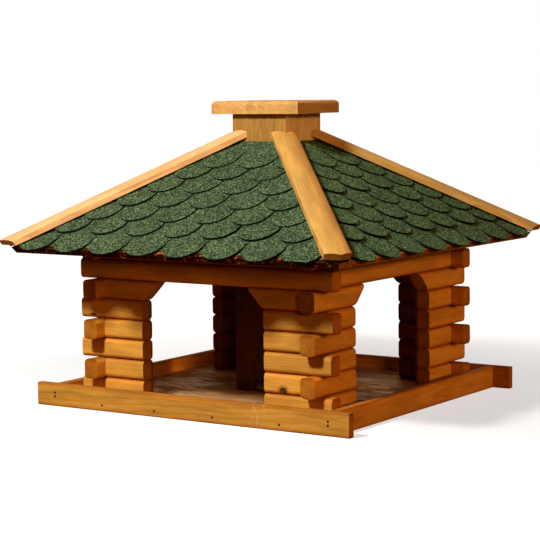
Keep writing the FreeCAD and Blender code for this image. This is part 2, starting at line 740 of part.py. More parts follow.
doc.recompute()
for item in doc.Objects:
    if "Invalid" in item.State or "Error" in item.State:
        raise RuntimeError("%s did not recompute" % item.Label)
for piece in nodes:
    if piece.Shape.isNull() or not piece.Shape.isValid():
        raise RuntimeError("%s has no valid shape" % piece.Label)

os.makedirs("parts", exist_ok=True)
for piece in nodes:
    piece.Shape.exportStep("parts/%s.step" % piece.Label)
print("%d sub-parts written" % len(nodes))
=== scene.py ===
# %% [markdown]
# # A log-cabin bird table
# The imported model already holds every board, log, shingle and nail at its real size.
# This script gives them the finish of the real thing: stained softwood, bare pine,
# strand board and green crushed stone. Only the shingles are shaped anew, because felt
# bends and a stiff solid doesn't. At the end the table stands in a plain studio.

# %% Load the frame
import math

import bmesh
import bpy
from mathutils import Matrix, Vector, noise


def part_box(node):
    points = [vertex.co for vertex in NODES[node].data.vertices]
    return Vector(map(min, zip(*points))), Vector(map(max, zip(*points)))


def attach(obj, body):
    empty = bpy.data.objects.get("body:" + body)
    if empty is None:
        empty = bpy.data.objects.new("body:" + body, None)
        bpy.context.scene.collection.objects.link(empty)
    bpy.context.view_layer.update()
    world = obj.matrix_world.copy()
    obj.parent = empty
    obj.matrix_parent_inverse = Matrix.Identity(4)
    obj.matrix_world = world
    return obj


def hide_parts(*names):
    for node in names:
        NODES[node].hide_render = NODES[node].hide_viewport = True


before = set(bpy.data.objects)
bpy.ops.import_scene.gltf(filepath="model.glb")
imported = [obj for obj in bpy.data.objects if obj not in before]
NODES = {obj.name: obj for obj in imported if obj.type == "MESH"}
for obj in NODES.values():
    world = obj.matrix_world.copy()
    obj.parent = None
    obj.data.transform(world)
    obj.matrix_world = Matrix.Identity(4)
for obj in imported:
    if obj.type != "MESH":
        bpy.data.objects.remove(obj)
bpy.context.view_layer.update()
MM = 0.001

# %% [markdown]
# ## The photographer's viewpoint
# The picture was taken from the front and well to the right, a little above the roof,
# from more than two metres away. A long lens keeps the walls nearly parallel. The camera
# is built from its bearing around the table, its height angle and a slight tilt.

# %% Camera
CAMERA_PLACE = Vector((1.410928, -2.123619, 0.432021))
CAMERA_BEARING = math.radians(33.865)
CAMERA_DROP = math.radians(5.71)
CAMERA_TILT = math.radians(-0.72)
SENSOR = 36.0
LENS = 123.0


def camera_axes(bearing, drop, tilt):
    """The camera's right, up and backward directions as the columns of a rotation."""
    back = Vector((math.sin(bearing) * math.cos(drop), -math.cos(bearing) * math.cos(drop),
                   math.sin(drop)))
    level = Vector((math.cos(bearing), math.sin(bearing), 0))
    above = back.cross(level)
    right = math.cos(tilt) * level + math.sin(tilt) * above
    up = -math.sin(tilt) * level + math.cos(tilt) * above
    return Matrix((right, up, back)).transposed()


camera = bpy.data.objects.new("camera", bpy.data.cameras.new("camera"))
bpy.context.collection.objects.link(camera)
camera.data.sensor_fit = "HORIZONTAL"
camera.data.sensor_width = SENSOR
camera.data.lens = LENS
camera.data.clip_end = 20
turn = camera_axes(CAMERA_BEARING, CAMERA_DROP, CAMERA_TILT).to_4x4()
camera.matrix_world = Matrix.Translation(CAMERA_PLACE) @ turn
bpy.context.scene.camera = camera
print("camera at", tuple(CAMERA_PLACE))

# %% [markdown]
# ## Short names for shader nodes
# A material is a small machine of nodes. These helpers place one node and plug in its
# inputs on the same line, so that each material below reads like a recipe.


# %% Node helpers
def plug_in(tree, item, plugs):
    """Fills a node's sockets with values or links."""
    for name, value in plugs.items():
        socket = item.inputs[name]
        if isinstance(value, bpy.types.NodeSocket):
            tree.links.new(value, socket)
        else:
            socket.default_value = value
    return item


def put(tree, kind, plugs=None, **settings):
    """Adds a node, sets its properties and fills its sockets."""
    item = tree.nodes.new("ShaderNode" + kind)
    for name, value in settings.items():
        setattr(item, name, value)
    return plug_in(tree, item, plugs or {})


def use_group(tree, made, plugs):
    """Places a node group in a material."""
    item = tree.nodes.new("ShaderNodeGroup")
    item.node_tree = made
    return plug_in(tree, item, plugs).outputs


def calc(tree, operation, first, second=0.0, third=0.0):
    """One sum on numbers."""
    return put(tree, "Math", {0: first, 1: second, 2: third}, operation=operation).outputs[0]


def reckon(tree, operation, first, second=(0, 0, 0)):
    """One sum on vectors."""
    return put(tree, "VectorMath", {0: first, 1: second}, operation=operation).outputs[0]


def scaled(tree, vector, factor):
    """A vector or colour times a number."""
    return put(tree, "VectorMath", {0: vector, "Scale": factor}, operation="SCALE").outputs[0]


def span(tree, vector):
    """A vector's length."""
    return put(tree, "VectorMath", {0: vector}, operation="LENGTH").outputs["Value"]


def parts(tree, vector):
    """A vector's three numbers."""
    return put(tree, "SeparateXYZ", {0: vector}).outputs


def joined(tree, first, second, third):
    """Three numbers as a vector."""
    return put(tree, "CombineXYZ", {0: first, 1: second, 2: third}).outputs[0]


def choose(tree, factor, first, second):
    """Mixes two numbers."""
    return put(tree, "Mix", {0: factor, 2: first, 3: second}).outputs[0]


def blend(tree, factor, first, second, way="MIX"):
    """Mixes two colours."""
    item = put(tree, "Mix", {0: factor, 6: first, 7: second}, data_type="RGBA", blend_type=way)
    return item.outputs[2]


def ease(tree, value, low, high, to_low=0.0, to_high=1.0):
    """Turns values from low to high smoothly into values from to_low to to_high."""
    plugs = {"Value": value, "From Min": low, "From Max": high, "To Min": to_low, "To Max": to_high}
    return put(tree, "MapRange", plugs, interpolation_type="SMOOTHSTEP").outputs[0]


def noise_of(tree, vector, scale, detail=3.0, roughness=0.5):
    """Cloudy noise between 0 and 1."""
    plugs = {"Vector": vector, "Scale": scale, "Detail": detail, "Roughness": roughness}
    return put(tree, "TexNoise", plugs).outputs["Fac"]


def group(name, inputs, outputs):
    """An empty shader node group with named sockets, and its inner ends."""
    tree = bpy.data.node_groups.new(name, "ShaderNodeTree")
    for kind, words in (("INPUT", inputs), ("OUTPUT", outputs)):
        for word, (socket, default) in words.items():
            made = tree.interface.new_socket(word, in_out=kind, socket_type="NodeSocket" + socket)
            if default is not None:
                made.default_value = default
    return tree, tree.nodes.new("NodeGroupInput").outputs, tree.nodes.new("NodeGroupOutput").inputs


def material(name, roughness, specular=0.5):
    """A new material with one Principled shader."""
    made = bpy.data.materials.new(name)
    made.use_nodes = True
    shader = made.node_tree.nodes["Principled BSDF"]
    shader.inputs["Roughness"].default_value = roughness
    shader.inputs["Specular IOR Level"].default_value = specular
    return made, made.node_tree, shader.inputs


def raise_surface(tree, sockets, height, depth):
    """Feeds a height in metres to the shader's Normal."""
    bump = put(tree, "Bump", {"Height": height, "Distance": depth, "Strength": 1.0})
    tree.links.new(bump.outputs[0], sockets["Normal"])


def dress(finish, *names):
    """Gives CAD nodes their material."""
    for name in names:
        slots = NODES[name].material_slots
        for slot in slots:
            slot.material = finish
        if not slots:
            NODES[name].data.materials.append(finish)
    print(finish.name, "on", len(names), "nodes")


# %% [markdown]
# ## Which way does the grain run?
# A log lies along X or along Y, and in a log wall the two change places at the corner
# from course to course. So the shader finds out from the place of a point: it counts the
# course, and asks on which side of the wall's inner face the point lies. It first steps
# a little under the surface, because the faces of two courses share one height. The
# result is a point measured along the log and from the log's own middle line. Two masks
# come with it: the distance from the seam between two courses, and what looks indoors.

# %% Group: log wall frame
SKIN = 0.8 * MM
INDOOR_EDGE = (2 * MM, 6 * MM)
tree, given, wanted = group("log wall frame", {
    "Base": ("Float", 0.012), "Course": ("Float", 0.027), "Inner": ("Float", 0.162),
    "Middle": ("Float", 0.173), "Halves": ("Float", 1.0)}, {
    "Grain": ("Vector", None), "Chance": ("Vector", None), "End": ("Float", None),
    "Seam": ("Float", None), "Indoors": ("Float", None)})
spot = put(tree, "TexCoord").outputs
inward = scaled(tree, spot["Normal"], SKIN)
under = parts(tree, reckon(tree, "SUBTRACT", spot["Object"], inward))
risen = calc(tree, "DIVIDE", calc(tree, "SUBTRACT", under[2], given["Base"]), given["Course"])
course = calc(tree, "FLOOR", risen)
even = calc(tree, "PINGPONG", course, 1.0)
far_y = calc(tree, "GREATER_THAN", calc(tree, "ABSOLUTE", under[1]), given["Inner"])
near_x = calc(tree, "LESS_THAN", calc(tree, "ABSOLUTE", under[0]), given["Inner"])
along_x = choose(tree, even, far_y, near_x)
place = parts(tree, spot["Object"])
from_middle = [calc(tree, "SUBTRACT", calc(tree, "ABSOLUTE", place[axis]), given["Middle"])
               for axis in (0, 1)]
half_way = calc(tree, "ADD", course, 0.5)
middle_height = calc(tree, "MULTIPLY_ADD", half_way, given["Course"], given["Base"])
height = calc(tree, "SUBTRACT", place[2], middle_height)
grain = joined(tree, choose(tree, along_x, place[1], place[0]),
               choose(tree, along_x, from_middle[0], from_middle[1]), height)
side_x = calc(tree, "SIGN", under[0])
side_y = calc(tree, "SIGN", under[1])
own = choose(tree, along_x, side_x, side_y)
half = choose(tree, along_x, side_y, side_x)
label = joined(tree, course, calc(tree, "MULTIPLY_ADD", along_x, 3.0, own),
               calc(tree, "MULTIPLY", half, given["Halves"]))
facing = parts(tree, reckon(tree, "ABSOLUTE", spot["Normal"]))
end = choose(tree, along_x, facing[1], facing[0])
seam = calc(tree, "SUBTRACT", calc(tree, "MULTIPLY", given["Course"], 0.5),
            calc(tree, "ABSOLUTE", height))
tree.links.new(grain, wanted["Grain"])
tree.links.new(put(tree, "TexWhiteNoise", {"Vector": label}).outputs["Color"], wanted["Chance"])
tree.links.new(ease(tree, end, 0.6, 0.8), wanted["End"])
tree.links.new(seam, wanted["Seam"])
outmost = calc(tree, "MAXIMUM", calc(tree, "ABSOLUTE", under[0]), calc(tree, "ABSOLUTE", under[1]))
beyond = calc(tree, "SUBTRACT", outmost, given["Inner"])
tree.links.new(ease(tree, beyond, *INDOOR_EDGE, 1.0, 0.0), wanted["Indoors"])
LOG_WALL = tree
print(LOG_WALL.name, "has", len(LOG_WALL.nodes), "nodes")

# %% [markdown]
# ## Softwood
# A board shows the growth rings of a tree that stood beside or around it. The group
# below measures each point's distance from a wandering, slightly slanting heart line,
# which draws arcs on the ends and long flames on the faces. Chance gives each piece its
# own heart line, tone and a more or less red stain. Wander sets how much the flames wave,
# and Pores how speckled the sawn ends are.

# %% Group: softwood
HEART_SLANT = (0, 0.09, 0.06)
WANDER_RATE = (6.0, 22.0, 22.0)
WANDER_REACH = (0, 0.03, 0.03)
FIBRE_RATE = (26.0, 1000.0, 1000.0)
BLOTCH_RATE = (14.0, 70.0, 70.0)
PORE_RATE = 1400.0
WAVE_TURN = 2 * math.pi / 20
REDDER_STAIN = (0.96, 0.62, 0.4, 1)
tree, given, wanted = group("softwood", {
    "Grain": ("Vector", None), "Chance": ("Vector", None), "End": ("Float", 0.0),
    "Early Wood": ("Color", (0.6, 0.3, 0.1, 1)), "Late Wood": ("Color", (0.4, 0.17, 0.04, 1)),
    "End Wood": ("Color", (0.4, 0.2, 0.06, 1)), "Ring": ("Float", 0.0024),
    "Contrast": ("Float", 0.4), "Heart": ("Float", 0.05), "Spread": ("Float", 0.3),
    "Pores": ("Float", 0.8), "Wander": ("Float", 1.0)}, {
    "Color": ("Color", None), "Height": ("Float", None), "Roughness": ("Float", None)})
offset = reckon(tree, "SUBTRACT", given["Chance"], (0.5, 0.5, 0.5))
aside = reckon(tree, "MULTIPLY", scaled(tree, offset, given["Heart"]), (0, 1, 1))
shift = reckon(tree, "ADD", reckon(tree, "MULTIPLY", offset, (6.1, 0, 0)), aside)
along = parts(tree, given["Grain"])[0]
slant = scaled(tree, reckon(tree, "MULTIPLY", offset, HEART_SLANT), along)
local = reckon(tree, "ADD", reckon(tree, "ADD", given["Grain"], shift), slant)
slow = reckon(tree, "MULTIPLY", local, WANDER_RATE)
wander = put(tree, "TexNoise", {"Vector": slow, "Scale": 1.0, "Detail": 2.0}).outputs["Color"]
swing = reckon(tree, "MULTIPLY", reckon(tree, "SUBTRACT", wander, (0.5, 0.5, 0.5)), WANDER_REACH)
bent = reckon(tree, "ADD", local, scaled(tree, swing, given["Wander"]))
ring_rate = calc(tree, "DIVIDE", WAVE_TURN, given["Ring"])
rings = put(tree, "TexWave", {"Vector": bent, "Scale": ring_rate, "Distortion": 1.0,
                              "Detail": 2.0, "Detail Scale": 0.4},
            wave_type="RINGS", rings_direction="X", wave_profile="SAW").outputs["Fac"]
late = ease(tree, rings, 0.3, 1.0)
fibre = noise_of(tree, reckon(tree, "MULTIPLY", local, FIBRE_RATE), 1.0, 3.0, 0.65)
blotch = noise_of(tree, reckon(tree, "MULTIPLY", local, BLOTCH_RATE), 1.0, 2.0)
chance = parts(tree, given["Chance"])
colour = blend(tree, calc(tree, "MULTIPLY", late, given["Contrast"]), given["Early Wood"],
               given["Late Wood"])
ended = blend(tree, calc(tree, "MULTIPLY", late, 0.6), given["End Wood"], given["Late Wood"])
pores = ease(tree, noise_of(tree, given["Grain"], PORE_RATE, 1.0), 0.3, 0.7, -0.5, 0.5)
ended = scaled(tree, ended, calc(tree, "MULTIPLY_ADD", pores, given["Pores"], 1.0))
colour = blend(tree, given["End"], colour, ended)
streak = ease(tree, fibre, 0.25, 0.75, 0.87, 1.12)
cloud = ease(tree, blotch, 0.3, 0.7, 0.84, 1.14)
tone = calc(tree, "MULTIPLY_ADD", calc(tree, "SUBTRACT", chance[2], 0.5), given["Spread"], 1.0)
strength = calc(tree, "MULTIPLY", calc(tree, "MULTIPLY", streak, cloud), tone)
redder = calc(tree, "MULTIPLY", chance[0], given["Spread"])
colour = blend(tree, redder, colour, REDDER_STAIN, "MULTIPLY")
tree.links.new(scaled(tree, colour, strength), wanted["Color"])
tree.links.new(calc(tree, "MULTIPLY_ADD", late, 0.5, fibre), wanted["Height"])
tree.links.new(ease(tree, fibre, 0.2, 0.8, 0.5, 0.68), wanted["Roughness"])
SOFTWOOD = tree
print(SOFTWOOD.name, "has", len(SOFTWOOD.nodes), "nodes")

# %% [markdown]
# ## Knots and scratches
# Where a branch left the trunk, the saw cuts through a dark, cracked plug with a brown
# halo. The group takes a point measured from the knot's middle and gives masks for both.
# Marks of the saw and of handling are thin pale arcs. Each is the edge of a sphere around
# a middle of its own, broken by noise, so it shows only where that sphere meets a face.

# %% Group: knot
FRAY_RATE = 420.0
CRACK_RATE = 700.0
KNOT_HALO = (0.42, 0.15, 0.02, 1)
KNOT_CORE = (0.025, 0.009, 0.003, 1)
tree, given, wanted = group("knot", {
    "From Middle": ("Vector", None), "Size": ("Float", 0.004)}, {
    "Core": ("Float", None), "Halo": ("Float", None)})
ragged = {"Vector": given["From Middle"], "Scale": FRAY_RATE, "Detail": 3.0}
rough = put(tree, "TexNoise", ragged).outputs["Color"]
frayed = scaled(tree, reckon(tree, "SUBTRACT", rough, (0.5, 0.5, 0.5)), given["Size"])
away = span(tree, reckon(tree, "ADD", given["From Middle"], frayed))
away = calc(tree, "DIVIDE", away, given["Size"])
cracks = noise_of(tree, given["From Middle"], CRACK_RATE, 2.0)
core = calc(tree, "MULTIPLY", ease(tree, away, 0.7, 1.1, 1.0, 0.0), ease(tree, cracks, 0.72, 0.5))
tree.links.new(core, wanted["Core"])
tree.links.new(ease(tree, away, 1.1, 1.7, 1.0, 0.0), wanted["Halo"])
KNOT = tree
print(KNOT.name, "has", len(KNOT.nodes), "nodes")


# %% Knots and scratches on a wood
SCRATCH_PALE = (0.95, 0.7, 0.4, 1)
SCRATCH_WIDTH = (0.2 * MM, 1.0 * MM)
SCRATCH_BREAKS = 140.0


def grow_knots(tree, colour, knots):
    """Paints knots over a wood colour: each has a place, stretch and radius in mm."""
    spot = put(tree, "TexCoord").outputs["Object"]
    for middle, stretch, size in knots:
        away = reckon(tree, "SUBTRACT", spot, tuple(value * MM for value in middle))
        masks = use_group(tree, KNOT, {
            "From Middle": reckon(tree, "MULTIPLY", away, stretch), "Size": size * MM})
        colour = blend(tree, calc(tree, "MULTIPLY", masks["Halo"], 0.65), colour, KNOT_HALO)
        colour = blend(tree, masks["Core"], colour, KNOT_CORE)
    return colour


def scratch(tree, colour, arcs, start=0.6):
    """Draws thin pale arcs by middle and radius in mm, from a share of the radius rightwards."""
    if not arcs:
        return colour
    spot = put(tree, "TexCoord").outputs["Object"]
    broken = ease(tree, noise_of(tree, spot, SCRATCH_BREAKS, 2.0), 0.42, 0.6)
    for middle, radius in arcs:
        away = reckon(tree, "SUBTRACT", spot, tuple(value * MM for value in middle))
        off = calc(tree, "ABSOLUTE", calc(tree, "SUBTRACT", span(tree, away), radius * MM))
        ahead = ease(tree, parts(tree, away)[0], start * radius * MM, (start + 0.2) * radius * MM)
        line = calc(tree, "MULTIPLY", ease(tree, off, *SCRATCH_WIDTH, 0.45, 0.0), broken)
        line = calc(tree, "MULTIPLY", line, ahead)
        colour = blend(tree, line, colour, SCRATCH_PALE)
    return colour


# %% [markdown]
# ## Stained logs and rims
# Posts and beams are honey-stained spruce with round long edges. One recipe serves them
# all, because the wall frame tells each log apart. Along the round edges next to each seam
# the colour turns darker and more orange, and painted shade darkens the grooves between two
# courses. The rims get the same finish with their own places. A beam runs from corner to
# corner, so it counts as one half. The faces that look indoors get painted shade, as under
# any deep roof.

# %% Stained wood
HONEY = (0.75, 0.365, 0.05, 1)
HONEY_LATE = (0.55, 0.195, 0.018, 1)
HONEY_END = (0.44, 0.155, 0.008, 1)
GROOVE_WIDTH = 3.0 * MM
SEAM_EDGE_WIDTH = 7.0 * MM
SEAM_EDGE_TINT = (0.95, 0.66, 0.35, 1)
GROOVE_PAINTED_SHADE = (0.12, 0.03, 0.003, 1)
INDOOR_PAINTED_SHADE = (0.33, 0.16, 0.2, 1)


def wall_wood(name, places, ring=3.0, contrast=0.22, heart=0.06, spread=0.18, knots=(),
              scratches=(), indoors=0.0):
    """Stained wood for pieces whose grain follows the walls, with rings a few mm wide."""
    made, tree, sockets = material(name, 0.55, 0.2)
    wall = use_group(tree, LOG_WALL, places)
    figure = use_group(tree, SOFTWOOD, {
        "Grain": wall["Grain"], "Chance": wall["Chance"], "End": wall["End"],
        "Early Wood": HONEY, "Late Wood": HONEY_LATE, "End Wood": HONEY_END,
        "Ring": ring * MM, "Contrast": contrast, "Heart": heart, "Spread": spread})
    # Along the round edges next to each seam the colour is multiplied darker and more orange.
    seam_edge = ease(tree, wall["Seam"], 0.0, SEAM_EDGE_WIDTH, 0.8, 0.0)
    colour = blend(tree, seam_edge, figure["Color"], SEAM_EDGE_TINT, "MULTIPLY")
    # Painted shade darkens the groove between two courses.
    groove_shade = ease(tree, wall["Seam"], 0.0, GROOVE_WIDTH, 0.45, 0.0)
    colour = blend(tree, groove_shade, colour, GROOVE_PAINTED_SHADE)
    colour = scratch(tree, grow_knots(tree, colour, knots), scratches)
    # Faces that look indoors are multiplied darker: painted shade.
    covered = calc(tree, "MULTIPLY", wall["Indoors"], indoors)
    colour = blend(tree, covered, colour, INDOOR_PAINTED_SHADE, "MULTIPLY")
    tree.links.new(colour, sockets["Base Color"])
    tree.links.new(figure["Roughness"], sockets["Roughness"])
    raise_surface(tree, sockets, figure["Height"], 0.12 * MM)
    return made


# %% Logs, beams and rims
lintel_low, lintel_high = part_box("lintel_front")
rim_low, rim_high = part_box("rim_front")
WALL_PLACES = {"Base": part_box("floor_panel")[1].z, "Course": lintel_high.z - lintel_low.z,
               "Inner": -lintel_high.y, "Middle": -(lintel_low.y + lintel_high.y) / 2}
RIM_PLACES = {"Base": 0.0, "Course": rim_high.z, "Inner": -rim_high.y,
              "Middle": -(rim_low.y + rim_high.y) / 2, "Halves": 0.0}
POST_KNOTS = (((127, -184, 44.5), (0.85, 0.4, 1.1), 5.4),
              ((-181, -184, 125), (0.5, 0.4, 1.4), 2.4))
RIM_SCRATCHES = (((88, -221, 12), 24), ((90, -221, 20), 33), ((78, -221, 24), 28))
# How strongly the indoor faces of posts and beams get painted shade.
INDOOR_SHADE_SHARE = 0.85


def named(*starts):
    """The names of the CAD nodes that start with one of these words."""
    return [name for name in NODES if name.startswith(starts)]


post_wood = wall_wood("stained_post", {**WALL_PLACES, "Halves": 1.0}, knots=POST_KNOTS,
                      indoors=INDOOR_SHADE_SHARE)
beam_wood = wall_wood("stained_beam", {**WALL_PLACES, "Halves": 0.0}, indoors=INDOOR_SHADE_SHARE)
rim_wood = wall_wood("stained_rim", RIM_PLACES, ring=8.0, contrast=0.42, heart=0.04, spread=0.12,
                     scratches=RIM_SCRATCHES)
dress(post_wood, *named("post_"))
dress(beam_wood, *named("lintel", "tie_beam", "wall_plate"))
dress(rim_wood, *named("rim_"))

# %% [markdown]
# ## Bare pine
# The silo's boards stand upright, the battens lie on the hips and the cap's grain runs
# from front to back. A Mapping node turns and moves the space, so that its X axis follows
# the grain and its origin lies in the middle of the piece. Each wood has three tones, for
# early wood, late wood and ends, and a second set for the faces that look to the right:
# painted light on the silo and painted shade on the cap. Below the roof the silo gets
# painted shade, as dark as the logs indoors.

# %% Straight wood
ROOF_LINE = (280 * MM, 200 * MM)


def straight_wood(name, turn, move, tones, side_light_and_shade_tones, chance, ring=2.4, contrast=0.5,
                  heart=0.06, indoors=0.0, pores=0.8, arcs=(), wander=1.0):
    """Wood of one piece whose grain lies along X once space is turned and moved."""
    made, tree, sockets = material(name, 0.55, 0.25)
    spot = put(tree, "TexCoord").outputs
    # Faces that look to the right take the second set of tones: painted light on the silo, painted
    # shade on the cap.
    rightward = ease(tree, parts(tree, spot["Normal"])[0], 0.6, 0.8)
    early, late, ends = [blend(tree, rightward, *pair) for pair in zip(tones, side_light_and_shade_tones)]
    along = {"Vector": spot["Object"], "Rotation": turn, "Location": move}
    lined = put(tree, "Mapping", along).outputs[0]
    outward = {"Vector": spot["Normal"], "Rotation": turn}
    facing = put(tree, "Mapping", outward, vector_type="NORMAL").outputs[0]
    end = calc(tree, "ABSOLUTE", parts(tree, facing)[0])
    figure = use_group(tree, SOFTWOOD, {
        "Grain": lined, "Chance": chance, "End": ease(tree, end, 0.6, 0.8),
        "Early Wood": early, "Late Wood": late, "End Wood": ends,
        "Ring": ring * MM, "Contrast": contrast, "Heart": heart, "Spread": 0.1,
        "Pores": pores, "Wander": wander})
    # Below the roof line the colour is multiplied down: painted shade.
    covered = ease(tree, parts(tree, spot["Object"])[2], *ROOF_LINE, 0.0, indoors)
    colour = blend(tree, covered, figure["Color"], INDOOR_PAINTED_SHADE, "MULTIPLY")
    colour = scratch(tree, colour, arcs, 0.1)
    tree.links.new(colour, sockets["Base Color"])
    tree.links.new(figure["Roughness"], sockets["Roughness"])
    raise_surface(tree, sockets, figure["Height"], 0.1 * MM)
    return made


# %% Tones of silo, battens and cap
PALE_END = (0.36, 0.13, 0.02, 1)
PALE = ((0.64, 0.33, 0.085, 1), (0.50, 0.215, 0.035, 1), PALE_END)
PALEST = ((0.80, 0.47, 0.20, 1), (0.66, 0.33, 0.10, 1), PALE_END)
STRAW = ((0.66, 0.36, 0.085, 1), (0.46, 0.205, 0.03, 1), PALE_END)
GOLDEN = ((0.72, 0.46, 0.135, 1), (0.52, 0.27, 0.05, 1), PALE_END)
CAP = ((0.68, 0.36, 0.11, 1), (0.52, 0.22, 0.045, 1), (0.68, 0.36, 0.095, 1))
CAP_RIGHT_PAINTED_SHADE = ((0.62, 0.38, 0.12, 1), (0.44, 0.21, 0.045, 1), PALE_END)
SILO = ((0.40, 0.20, 0.036, 1), (0.28, 0.11, 0.016, 1), PALE_END)
SILO_RIGHT_PAINTED_LIGHT = ((0.80, 0.60, 0.29, 1), (0.62, 0.42, 0.16, 1), PALE_END)
BATTEN_TONES = {"front_right": STRAW, "front_left": PALEST, "back_right": GOLDEN}
print(len(BATTEN_TONES), "battens with tones of their own")

# %% Silo
SIDES = ("front", "right", "back", "left")
UPRIGHT = (0, math.radians(90), 0)
for index, side in enumerate(SIDES):
    chance = (0.2 + 0.2 * index, 0.35 + 0.1 * index, 0.5)
    silo_pine = straight_wood("silo_pine_" + side, UPRIGHT, (0, 0, 0), SILO, SILO_RIGHT_PAINTED_LIGHT, chance,
                              indoors=1.0)
    dress(silo_pine, "silo_board_" + side)

# %% Battens
ROOF_PITCH = math.radians(32.3)
HIP_DROP = math.atan(math.tan(ROOF_PITCH) / math.sqrt(2))
HIP_APEX = 389 * MM
HIP_HEIGHT = -HIP_APEX * math.cos(HIP_DROP)
for index, corner in enumerate(("front_right", "back_right", "back_left", "front_left")):
    bearing = math.radians(-45 + 90 * index)
    turn = (Matrix.Rotation(-HIP_DROP, 3, "Y") @ Matrix.Rotation(-bearing, 3, "Z")).to_euler()
    chance = (0.15 + 0.22 * index, 0.7 - 0.15 * index, 0.5)
    tones = BATTEN_TONES.get(corner, PALE)
    batten_pine = straight_wood("batten_pine_" + corner, turn, (0, 0, HIP_HEIGHT), tones, tones,
                                chance, ring=2.2, contrast=0.75, heart=0.6, wander=0.35)
    dress(batten_pine, "hip_batten_" + corner)

# %% Cap
FRONT_TO_BACK = (0, 0, math.radians(-90))
CAP_ARCS = tuple(((across, -52.5, 377.6), 30) for across in (-52.8, -39.1, -26.2, -11.3, 1.4))
cap_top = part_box("cap_board")[1].z
cap_pine = straight_wood("cap_pine", FRONT_TO_BACK, (0, 0, -cap_top), CAP, CAP_RIGHT_PAINTED_SHADE,
                         (0.4, 0.95, 0.1), ring=3.4, contrast=0.7, heart=0.12, pores=0.25,
                         arcs=CAP_ARCS)
dress(cap_pine, "cap_board", "cap_plug")

# %% [markdown]
# ## Strand board
# Floor and roof boards are pressed from flat wood strands that lie in many directions,
# mostly along the board. A cell pattern gives each strand its own direction and tone, and
# a stretched noise inside each cell draws its fibres. On the dark edges of the roof
# boards some strands have chipped off, and bare orange wood shows in their place.

# %% Group: strand board
STRAND_WOBBLE = 12 * MM
STRAND_FIBRES = (25.0, 330.0, 330.0)
BARE_CHIP = (0.75, 0.2, 0.035, 1)
tree, given, wanted = group("strand board", {
    "Vector": ("Vector", None), "Pale": ("Color", (0.4, 0.25, 0.13, 1)),
    "Dark": ("Color", (0.16, 0.08, 0.035, 1)), "Strand": ("Float", 0.02),
    "Turning": ("Float", 3.1), "Chips": ("Float", 0.0)}, {
    "Color": ("Color", None), "Height": ("Float", None), "Roughness": ("Float", None)})
rate = calc(tree, "DIVIDE", 1.0, given["Strand"])
crooked = {"Vector": given["Vector"], "Scale": 60.0, "Detail": 2.0}
wobble = put(tree, "TexNoise", crooked).outputs["Color"]
wobble = scaled(tree, reckon(tree, "SUBTRACT", wobble, (0.5, 0.5, 0.5)), STRAND_WOBBLE)
bent = reckon(tree, "ADD", given["Vector"], wobble)
cells = put(tree, "TexVoronoi", {"Vector": bent, "Scale": rate}, distance="CHEBYCHEV").outputs
chance = parts(tree, cells["Color"])
angle = calc(tree, "MULTIPLY", calc(tree, "SUBTRACT", chance[0], 0.5), given["Turning"])
spun = put(tree, "VectorRotate", {"Vector": given["Vector"], "Angle": angle},
           rotation_type="Z_AXIS").outputs[0]
fibres = noise_of(tree, reckon(tree, "MULTIPLY", spun, STRAND_FIBRES), 1.0, 3.0, 0.6)
mix = calc(tree, "ADD", calc(tree, "MULTIPLY", ease(tree, fibres, 0.3, 0.7), 0.6),
           calc(tree, "MULTIPLY", chance[1], 0.4))
chipped = calc(tree, "MULTIPLY", ease(tree, chance[2], 0.82, 0.86), given["Chips"])
board = blend(tree, mix, given["Dark"], given["Pale"])
tree.links.new(blend(tree, chipped, board, BARE_CHIP), wanted["Color"])
tree.links.new(ease(tree, mix, 0.2, 0.8, 0.85, 0.35), wanted["Roughness"])
tree.links.new(calc(tree, "ADD", fibres, calc(tree, "MULTIPLY", chance[2], 0.6)), wanted["Height"])
STRANDS = tree
print(STRANDS.name, "has", len(STRANDS.nodes), "nodes")


# %% Floor and roof boards
def strand_board(name, stretch, pale, dark, strand, turning, depth, specular, chips=0.0):
    """Pressed board: stretch squeezes the pattern along each axis, strand and depth in mm."""
    made, tree, sockets = material(name, 0.6, specular)
    spot = reckon(tree, "MULTIPLY", put(tree, "TexCoord").outputs["Object"], stretch)
    figure = use_group(tree, STRANDS, {
        "Vector": spot, "Pale": pale, "Dark": dark, "Strand": strand * MM, "Turning": turning,
        "Chips": chips})
    tree.links.new(figure["Color"], sockets["Base Color"])
    tree.links.new(figure["Roughness"], sockets["Roughness"])
    raise_surface(tree, sockets, figure["Height"], depth * MM)
    return made


tray_board = strand_board("strand_floor", (0.4, 1, 1), pale=(0.95, 0.52, 0.20, 1),
                          dark=(0.10, 0.03, 0.008, 1), strand=22, turning=1.6, depth=1.2,
                          specular=0.6)
shaded_board = strand_board("strand_roof_dark", (1, 1, 1), pale=(0.08, 0.018, 0.003, 1),
                            dark=(0.012, 0.003, 0.001, 1), strand=4, turning=3.1, depth=0.8,
                            specular=0.0, chips=0.5)
roof_board = strand_board("strand_roof", (1, 1, 1), pale=(0.62, 0.22, 0.04, 1),
                          dark=(0.12, 0.03, 0.004, 1), strand=5, turning=3.1, depth=0.8,
                          specular=0.1)
dress(tray_board, "floor_panel")
dress(shaded_board, "roof_board_front", "roof_board_left")
dress(roof_board, "roof_board_right", "roof_board_back")

# %% [markdown]
# ## Round-tab shingles
# Real shingles are strips of bitumen felt, nearly three millimetres thick and cut into
# round tabs. Stiff solids can't lie as the felt does: thick at the tabs, and pressed flat
# where the next rows cover it. So the strips are made here, with the tips and slits in the
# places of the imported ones. One tab is drawn by a spin and a few extrusions, copied along
# the row, given its thickness, laid on the slope and trimmed at the hips and the silo. At
# the eave, tabs on the hips are cut off along the board, and one tab was cut short.

